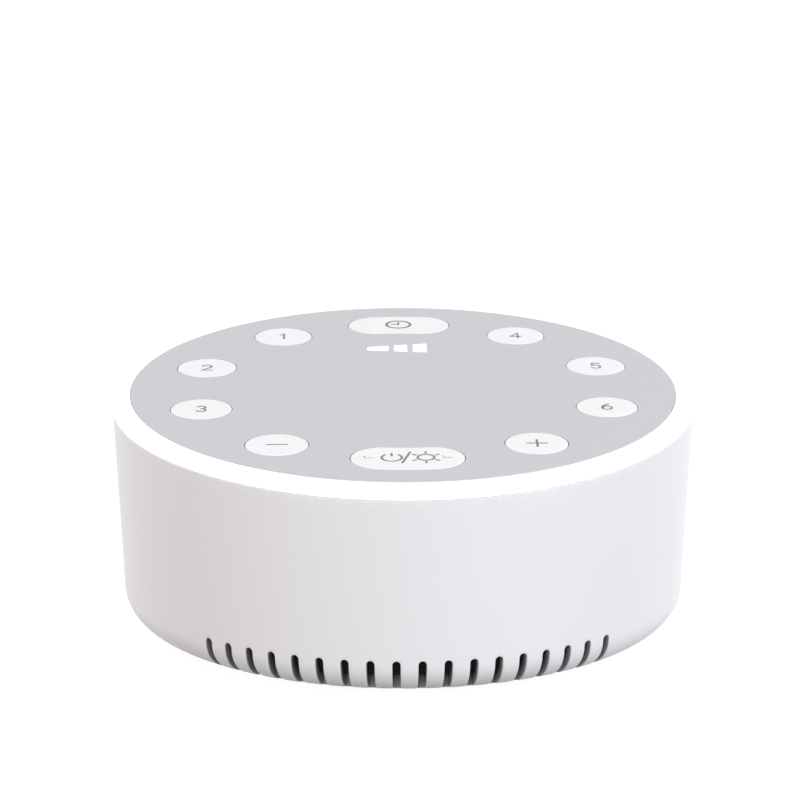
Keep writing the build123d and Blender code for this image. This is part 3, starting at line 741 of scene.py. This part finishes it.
def thickGrid(layers, keep):
    # Outer layer, inner layer, and through every layer a wall along the border of the kept cells.
    # Also gives which of the layers' points are used.
    depth, rows, columns = layers.shape[:3]
    perLayer = rows * columns
    index = np.arange(perLayer).reshape(rows, columns)
    beside = np.roll(index, -1, 1)
    cells = np.stack((index[:-1], beside[:-1], beside[1:], index[1:]), -1)
    front = cells[keep]
    faces = [front, front[:, ::-1] + (depth - 1) * perLayer]
    padded = np.pad(keep, ((1, 1), (0, 0)))
    neighbours = (padded[:-2], np.roll(keep, -1, 1), padded[2:], np.roll(keep, 1, 1))
    for side, kept in enumerate(neighbours):
        edge = cells[keep & ~kept]
        start, end = edge[:, side], edge[:, (side + 1) % 4]
        for near in np.arange(depth - 1) * perLayer:
            far = near + perLayer
            faces.append(np.stack((end + near, start + near, start + far, end + far), -1))
    used, renumbered = np.unique(np.concatenate(faces), return_inverse=True)
    return layers.reshape(-1, 3)[used], renumbered.reshape(-1, 4), used


def insideHole(look, angles, hole, rows, shape):
    # Cells of the grid that a rear hole takes: its columns by X, its rows by number.
    x = wallRadius(baseZ + look["port"]["z"]) * np.cos(angles)
    middle = (x + np.roll(x, -1)) / 2
    columns = (np.abs(middle - hole["x"]) < hole["halfX"]) & (np.sin(angles) > 0)
    cells = np.zeros(shape, bool)
    cells[slice(*rows)] = columns
    return cells


def caseShell(look):
    columns = caseColumns(look)
    angles, across = columns[:2]
    edge, wall = look["edge"], look["wall"]
    soft = edge * (1 - sin(pi / 4))
    # Each layer's depth in the wall and how far its slots and holes are widened, which rounds their edges.
    steps = (
        (0, edge), (soft / wall, soft), (edge / wall, 0),
        (1 - edge / wall, 0), (1 - soft / wall, soft), (1, edge),
    )
    layers = []
    for depth, grow in steps:
        outer = caseSkin(look, columns, 0, 0, look["round"], grow)
        inner = caseSkin(look, columns, wall, look["floor"], look["round"] - wall, grow)
        layers.append(outer + (inner - outer) * depth)
    layers = np.array(layers)
    keep = np.ones((layers.shape[1] - 1, len(angles)), bool)
    crownRow = crownIndex(look)
    # A slot's own columns share one angle.
    inSlot = (np.roll(across, -1) > across) & (np.abs(np.roll(angles, -1) - angles) < tiny)
    keep[look["stepRows"] + look["landRows"]:crownRow, inSlot] = False
    portLow, lightLow, lightHigh, portHigh = crownRow + 1 + np.cumsum(look["wallRows"])[:4]
    keep &= ~insideHole(look, angles, look["port"], (portLow, portHigh), keep.shape)
    keep &= ~insideHole(look, angles, look["light"], (lightLow, lightHigh), keep.shape)
    points, faces, used = thickGrid(layers, keep)
    # Painted shade covers the slots' walls and the inside. The rear holes' walls and the collar stay white.
    perLayer = layers[0, ..., 0].size
    inSlots = np.repeat(look["slotPaintedShade"], perLayer)[used]
    inHoles = np.repeat(look["holeLining"], perLayer)[used]
    shares = np.where(points[:, 1] > 0, inHoles, inSlots)
    collar = portCollar(look)
    # Each point's share of painted shade, by its layer in the wall.
    lining = np.concatenate((shares, np.zeros(collar[0][..., 0].size))).astype(np.float32)
    piece = makePiece("caseShell", *stackGrids(((points, faces), collar)))
    piece.data.attributes.new("lining", "FLOAT", "POINT").data.foreach_set("value", lining)
    closeSeams(piece)
    smoothOver(piece)
    dress(piece, "case", "white_case", "outer_shell")


def outline(halfX, halfZ, corner, arcSteps=10):
    # Rounded rectangle as its corners' centres and outward directions, anticlockwise. A point on it is
    # centre + corner * direction.
    turns = np.linspace(0, pi / 2, arcSteps)
    centres, directions = [], []
    for quarter, (signX, signZ) in enumerate(((1, 1), (-1, 1), (-1, -1), (1, -1))):
        turn = turns + quarter * pi / 2
        directions.append(np.stack((np.cos(turn), np.sin(turn)), -1))
        centres.append(np.tile((signX * (halfX - corner), signZ * (halfZ - corner)), (arcSteps, 1)))
    return np.concatenate(centres), np.concatenate(directions)


def portCollar(look):
    # Tube behind the port: its inside is a hair wider than the hole, its end rounded.
    port = look["port"]
    centres, directions = outline(port["halfX"], port["halfZ"], port["corner"])
    rear = np.sqrt(wallRadius(baseZ + port["z"]) ** 2 - port["x"] ** 2)
    near, root = rear - look["collarDepth"], rear - look["wall"] + look["collarSunk"]
    hair, skin, edge = look["collarHair"], look["collarSkin"], look["edge"]
    profile = (
        (hair, root), (hair, near + edge), (hair + edge, near),
        (skin - edge, near), (skin, near + edge), (skin, root),
    )
    grid = []
    for grow, y in profile:
        x, z = (centres + directions * (port["corner"] + grow)).T
        grid.append(np.stack((x + port["x"], np.full(len(x), y), z + baseZ + port["z"]), -1))
    return np.array(grid), gridFaces(len(profile), len(centres), True)


caseShell(caseLook)
print("case shell made")


# Light ring

ringLook = {
    "seat": 52.0,                            # inside edge, against the panel
    "width": 3.35,
    "drop": 2.2,
    "settle": 0.003,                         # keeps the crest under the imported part's
    "skirtRadius": 52.9,
    "skirt": 3.0,
    "ledge": 49.6,
    "panelThickness": 2.2,
    "edge": 0.1,
    "lip": 0.03,                             # halfway round the edge at the seat
    "columns": 300,
    "curveStart": radians(4),
    "curveEnd": radians(87),
    "curveRows": 26,
}


def lightRing(look):
    # A closed profile carried round the panel: skirt, quarter ellipse from the wall up to the panel,
    # seat and ledge.
    turns = np.linspace(look["curveStart"], look["curveEnd"], look["curveRows"])
    heights = look["drop"] * (np.sin(turns) - 1) - look["settle"]
    curve = np.stack((look["seat"] + look["width"] * np.cos(turns), heights), -1)
    low, drop, under = -look["drop"] - look["skirt"], -look["drop"], -look["panelThickness"]
    rim = look["seat"] + look["width"] - look["edge"]
    before = [(look["skirtRadius"], low), (look["skirtRadius"], drop), (rim, drop)]
    after = [
        (look["seat"] + look["lip"], -look["lip"]), (look["seat"], -look["edge"]), (look["seat"], under),
        (look["ledge"], under), (look["ledge"], low),
    ]
    profile = np.concatenate((before, curve, after))
    turn = np.linspace(0, 2 * pi, look["columns"], endpoint=False)
    radii, heights = profile[:, :1], profile[:, 1:]
    grid = np.stack((radii * np.cos(turn), radii * np.sin(turn), heights + 0 * turn), -1)
    piece = makePiece("lightRing", toPanel(grid), gridFaces(*grid.shape[:2], True))
    smoothOver(piece)
    dress(piece, "case", "diffuser", "light_ring")


lightRing(ringLook)
print("light ring made")


# Keys

keyLook = {
    "circle": 39.9,
    "radius": 5.68,
    "longHalfAngle": radians(6.5),
    "proud": 0.04,
    "edge": 0.12,
    "flange": 1.3,
    "flangeTop": -2.4,
    "flangeLow": -3.4,
    "flangeEdge": 0.08,
    "skin": 1.2,
    "chamfer": 0.3,                          # inside, under the top
    "stemRadius": 1.7,
    "stemLow": -4.6,
    "stemEdge": 0.1,
    "stemSunk": 0.3,                         # its root in the skin
    "flat": 3.6,                             # distance from the middle line that stays flat
    "dish": 0.02,                            # fall of the top from there to the edge's rounding
    "dishRows": (0.75, 0.5, 0.25, 0.0),      # as shares of the way out from the flat
    "edgeRows": 8,
    "columns": 96,                           # round a round cap
    "sweepColumns": 25,                      # along a long cap, and round its end
    "endColumns": 49,
    "stemColumns": 32,
    "names": (                               # clockwise from the rear
        "timer", "sound_4", "sound_5", "sound_6", "volume_up",
        "power", "volume_down", "sound_3", "sound_2", "sound_1",
    ),
    "long": ("timer", "power"),
}


def circleDirections(columns):
    # Unit directions, evenly all the way round.
    turn = np.linspace(0, 2 * pi, columns, endpoint=False)
    return np.stack((np.cos(turn), np.sin(turn)), -1)


def keyOutline(look, isLong):
    # Middle line and outward directions of a cap, anticlockwise round a key that lies behind the middle.
    if not isLong:
        return np.tile((0.0, look["circle"]), (look["columns"], 1)), circleDirections(look["columns"])
    # Right end's half circle, outer arc leftwards, left end's half circle, inner arc rightwards.
    sweep = np.linspace(-1, 1, look["sweepColumns"]) * look["longHalfAngle"]
    right, left = sweep[0], sweep[-1]
    cap = np.linspace(0, pi, look["endColumns"])[1:-1]
    spots = np.concatenate((np.full(len(cap), right), sweep, np.full(len(cap), left), sweep[::-1]))
    ends = (right - pi / 2 + cap, left + pi / 2 + cap)
    turns = np.concatenate((ends[0], sweep + pi / 2, ends[1], sweep[::-1] - pi / 2))
    middle = look["circle"] * np.stack((-np.sin(spots), np.cos(spots)), -1)
    return middle, np.stack((np.cos(turns), np.sin(turns)), -1)


def keyProfile(look):
    # (distance from the middle line, height) from the hollow's ceiling out, round the flange, up and over.
    radius, edge, top = look["radius"], look["edge"], look["proud"]
    inner, outer, ceiling = radius - look["skin"], radius + look["flange"], top - look["skin"]
    low, high = look["flangeLow"], look["flangeTop"]
    chamfer, soft = look["chamfer"], look["flangeEdge"]
    rows = [(0, ceiling), (inner - chamfer, ceiling), (inner, ceiling - chamfer)]
    rows += [(inner, low + soft), (inner + soft, low), (outer - soft, low), (outer, low + soft)]
    rows += [(outer, high - soft), (outer - soft, high), (radius, high)]
    rim = top - look["dish"]
    for turn in np.linspace(0, pi / 2, look["edgeRows"]):
        rows.append((radius - edge + edge * cos(turn), rim - edge + edge * sin(turn)))
    reach = radius - edge - look["flat"]
    for share in look["dishRows"]:
        rows.append((look["flat"] + share * reach, top - look["dish"] * share ** 2))
    rows += [(look["flat"] / 2, top), (0, top)]
    return np.array(rows)


def stemProfile(look):
    # Rows in the same form, from the foot's middle out and up to the root in the skin.
    radius, edge, low = look["stemRadius"], look["stemEdge"], look["stemLow"]
    root = look["proud"] - look["skin"] + look["stemSunk"]
    return np.array(((0, low), (radius - edge, low), (radius, low + edge), (radius, root), (0, root)))


def setOut(profile, middle, directions):
    # Each row of a profile is its distance out from the middle line, at its height.
    flat = middle + profile[:, :1, None] * directions
    heights = np.broadcast_to(profile[:, 1:], flat.shape[:2])
    return np.concatenate((flat, heights[..., None]), -1)


def turnKey(points, angle):                  # clockwise from the rear, seen from above
    x, y, z = np.moveaxis(points, -1, 0)
    return np.stack((x * cos(angle) + y * sin(angle), y * cos(angle) - x * sin(angle), z), -1)


def keyCap(look, name, angle):
    cap = setOut(keyProfile(look), *keyOutline(look, name in look["long"]))
    stem = setOut(stemProfile(look), (0, look["circle"]), circleDirections(look["stemColumns"]))
    parts = [(toPanel(turnKey(grid, angle)), gridFaces(*grid.shape[:2])) for grid in (cap, stem)]
    piece = makePiece(name + "Cap", *stackGrids(parts))
    closeSeams(piece)
    smoothOver(piece)
    dress(piece, name + "_key", "key_white", name + "_button")


# Legends: strokes on the caps, all of them upright to someone in front

inkLook = {
    "width": 0.42,
    "dialWidth": 0.54,
    "tickWidth": 0.16,
    "lift": 0.02,                            # top of the ink above the cap
    "sunk": 0.03,
    "endSteps": 7,                           # round each end of a stroke
    "sharpest": 0.5,                         # cosine of half a bend past which its corner grows no more
    "closedGap": 0.5,                        # ends nearer than this close a path
    "closedSteps": 20,                       # that has more points than this
}


def arcPath(x, y, radiusX, radiusY, start, end, steps=24):
    # Part of an ellipse: its middle plus one radius times the cosine and the other times the sine.
    turns = np.radians(np.linspace(start, end, steps))
    return np.stack((x + radiusX * np.cos(turns), y + radiusY * np.sin(turns)), -1)


def circlePath(x, y, radius, steps):         # without its last point, which is its first again
    return arcPath(x, y, radius, radius, 0, 360, steps)[:-1]


def linePath(*points):
    return np.array(points, float)


def bendPath(start, control, end, steps=16):
    # Quadratic curve from start to end, drawn towards the control point.
    t = np.linspace(0, 1, steps)[:, None]
    start, control, end = (np.array(point) for point in (start, control, end))
    return (1 - t) ** 2 * start + 2 * t * (1 - t) * control + t ** 2 * end


def joined(*paths):
    return np.concatenate(paths)


numerals = {
    "1": [linePath((-0.55, 0.95), (0.15, 1.5), (0.15, -1.5))],
    "2": [joined(arcPath(0, 0.66, 0.86, 0.84, 165, -38), linePath((-0.9, -1.5), (0.95, -1.5)))],
    "3": [arcPath(-0.02, 0.74, 0.78, 0.76, 150, -90), arcPath(-0.02, -0.74, 0.88, 0.76, 90, -150)],
    "4": [linePath((0.42, -1.5), (0.42, 1.5), (-1.0, -0.62), (0.98, -0.62))],
    "5": [joined(
        linePath((0.78, 1.5), (-0.58, 1.5), (-0.72, 0.12)), arcPath(-0.05, -0.54, 0.94, 0.96, 132, -140),
    )],
    "6": [circlePath(0, -0.6, 0.9, 40), bendPath((-0.9, -0.6), (-0.88, 0.75), (0.42, 1.5))],
}
powerX, sunX, signY = -2.85, 3.25, 0.4       # middles of the power sign and of the sun
icons = {
    "plus": [linePath((-1.75, 0), (1.9, 0)), linePath((0.08, -1.85), (0.08, 1.85))],
    "minus": [linePath((-1.75, 0), (1.9, 0))],
    "dial": [circlePath(-0.08, 0.15, 2.42, 60)],
    "hands": [linePath((-0.05, 1.6), (-0.15, 0.05), (-1.4, 0.2))],
    "power": [arcPath(powerX, signY, 1.8, 1.9, 130, 410, 48), linePath((powerX, 1.25), (powerX, 2.5))],
    "slash": [linePath((0.5, 3.2), (-1.04, -2.4))],
    "sun": [circlePath(sunX, signY, 1.5, 44)],
    "ticks": [linePath((x, 1.35), (x + 0.25, 0.25), (x + 1.7, 0.3)) for x in (-7.85, 6.25)],
}
for turn in np.radians((90, 270, 35, 145, 215, 325)):
    ray = [(sunX + reach * cos(turn), signY + reach * sin(turn)) for reach in (2.15, 2.8)]
    icons["sun"].append(linePath(*ray))
legends = {"sound_" + digit: {"width": paths} for digit, paths in numerals.items()}
legends |= {
    "volume_up": {"width": icons["plus"]},
    "volume_down": {"width": icons["minus"]},
    "timer": {"dialWidth": icons["dial"], "width": icons["hands"]},
    "power": {"width": icons["power"] + icons["slash"] + icons["sun"], "tickWidth": icons["ticks"]},
}


def stroke(path, width):
    # Flat bar along a path: each point's two sides stand off square to the path, further at a corner,
    # and a half circle closes each end.
    apart = np.abs(path[0] - path[-1]).max()
    closed = apart < inkLook["closedGap"] and len(path) > inkLook["closedSteps"]
    ahead = np.roll(path, -1, 0) - path
    ahead /= np.linalg.norm(ahead, axis=1, keepdims=True)
    behind = np.roll(ahead, 1, 0)
    if not closed:
        ahead[-1] = ahead[-2]
        behind[0] = ahead[0]
    along = ahead + behind
    along /= np.linalg.norm(along, axis=1, keepdims=True)
    side = np.stack((-along[:, 1], along[:, 0]), -1)
    stretch = 1 / np.maximum(np.sum(along * ahead, 1, keepdims=True), inkLook["sharpest"])
    half = width / 2
    wide = side * half * stretch
    centres = path
    if not closed:
        turns = np.linspace(0, pi / 2, inkLook["endSteps"])[1:, None]
        first = path[0] - along[0] * half * np.sin(turns)
        last = path[-1] + along[-1] * half * np.sin(turns)
        centres = np.concatenate((first[::-1], path, last))
        shrink = np.cos(turns)
        wide = np.concatenate(((wide[0] * shrink)[::-1], wide, wide[-1] * shrink))
    top, low = keyLook["proud"] + inkLook["lift"], keyLook["proud"] - inkLook["sunk"]
    corners = ((wide, top), (-wide, top), (-wide, low), (wide, low))
    columns = [np.column_stack((centres + offset, np.full(len(centres), z))) for offset, z in corners]
    return np.stack(columns, 1), gridFaces(len(centres), len(corners), closed)


def keyLegend(name, angle):
    spot = (keyLook["circle"] * sin(angle), keyLook["circle"] * cos(angle), 0)
    strokes = []
    for width, paths in legends[name].items():
        for path in paths:
            grid, faces = stroke(path, inkLook[width])
            strokes.append((toPanel(grid + spot), faces))
    piece = makePiece(name + "Legend", *stackGrids(strokes))
    closeSeams(piece)
    dress(piece, name + "_key", "rubber_grey", material=keyInk)


for index, keyName in enumerate(keyLook["names"]):
    keyAngle = 2 * pi * index / len(keyLook["names"])
    keyCap(keyLook, keyName, keyAngle)
    keyLegend(keyName, keyAngle)
print("keys made")


# Floor, backdrop and light

stageLook = {
    "floorSize": 3.0,                        # metres
    "floorColour": (0.1, 0.1, 0.1),
    "floorGlow": 0.94,
    "floorDrop": -0.01,                      # just under the feet, mm
    "skyFill": 0.45,
    "lamps": {                               # sizes and places in metres
        "overhead": {"size": 1.2, "power": 2.0, "place": (0.0, 0.0, 1.3), "colour": (1, 1, 1)},
        "front": {"size": 0.6, "power": 3.0, "place": (-0.4, -1.35, 0.35), "colour": (1, 1, 1)},
        "frontLeft": {"size": 0.8, "power": 6.9, "place": (-1.0, -0.95, 0.4), "colour": (1, 0.91, 0.87)},
        "frontRight": {"size": 0.8, "power": 10.8, "place": (1.0, -0.95, 0.4), "colour": (0.85, 0.925, 1)},
        "sideLeft": {"size": 0.7, "power": 1.0, "place": (-1.35, 0.25, 0.3), "colour": (1, 1, 1)},
        "sideRight": {"size": 0.7, "power": 4.4, "place": (1.35, -0.25, 0.3), "colour": (1, 0.86, 0.94)},
        "rearLeft": {"size": 0.9, "power": 8.5, "place": (-0.85, 1.1, 0.3), "colour": (1, 1, 1)},
        "rearRight": {"size": 0.9, "power": 8.5, "place": (0.85, 1.1, 0.3), "colour": (1, 1, 1)},
    },
}


def directRay(tree):
    # 1 for what the camera sees itself, or sees in or through a shiny thing, 0 for soft light.
    rays = tree.nodes.new("ShaderNodeLightPath")
    kinds = ("Is Camera Ray", "Is Glossy Ray", "Is Transmission Ray")
    camera, glossy, through = (Wire(tree, rays.outputs[kind]) for kind in kinds)
    return camera.larger(glossy).larger(through)


def makeFloor(look):
    half = look["floorSize"] / mm / 2
    low = look["floorDrop"]
    corners = np.array(((-half, -half, low), (half, -half, low), (half, half, low), (-half, half, low)))
    piece = makePiece("floor", corners, np.array(((0, 1, 2, 3),)))
    finish = Finish("floorWhite")
    finish.set(
        baseColor=look["floorColour"],
        roughness=1.0,
        emissionColor=(1.0, 1.0, 1.0),
        emissionStrength=directRay(finish.tree) * look["floorGlow"],
    )
    paint(piece, finish.material)


def makeWorld(look):
    # The camera sees a full white backdrop, and the object gets only the fill's share of its light.
    world = bpy.data.worlds.new("studio")
    world.use_nodes = True
    bpy.context.scene.world = world
    tree = world.node_tree
    strength = directRay(tree) * (1 - look["skyFill"]) + look["skyFill"]
    backdrop = tree.nodes["Background"]
    backdrop.inputs["Color"].default_value = (1, 1, 1, 1)
    tree.links.new(strength.socket, backdrop.inputs["Strength"])


def makeLamp(name, look):                    # aimed at the middle of the floor
    lamp = bpy.data.lights.new(name, "AREA")
    lamp.shape = "DISK"
    lamp.size = look["size"]
    lamp.energy = look["power"]
    lamp.color = look["colour"]
    holder = bpy.data.objects.new(name, lamp)
    bpy.context.scene.collection.objects.link(holder)
    holder.location = look["place"]
    holder.rotation_euler = (-Vector(look["place"])).to_track_quat("-Z", "Y").to_euler()


makeFloor(stageLook)
makeWorld(stageLook)
for lampName, lampLook in stageLook["lamps"].items():
    makeLamp(lampName, lampLook)
bpy.context.scene.view_settings.view_transform = "Standard"
print("stage made")
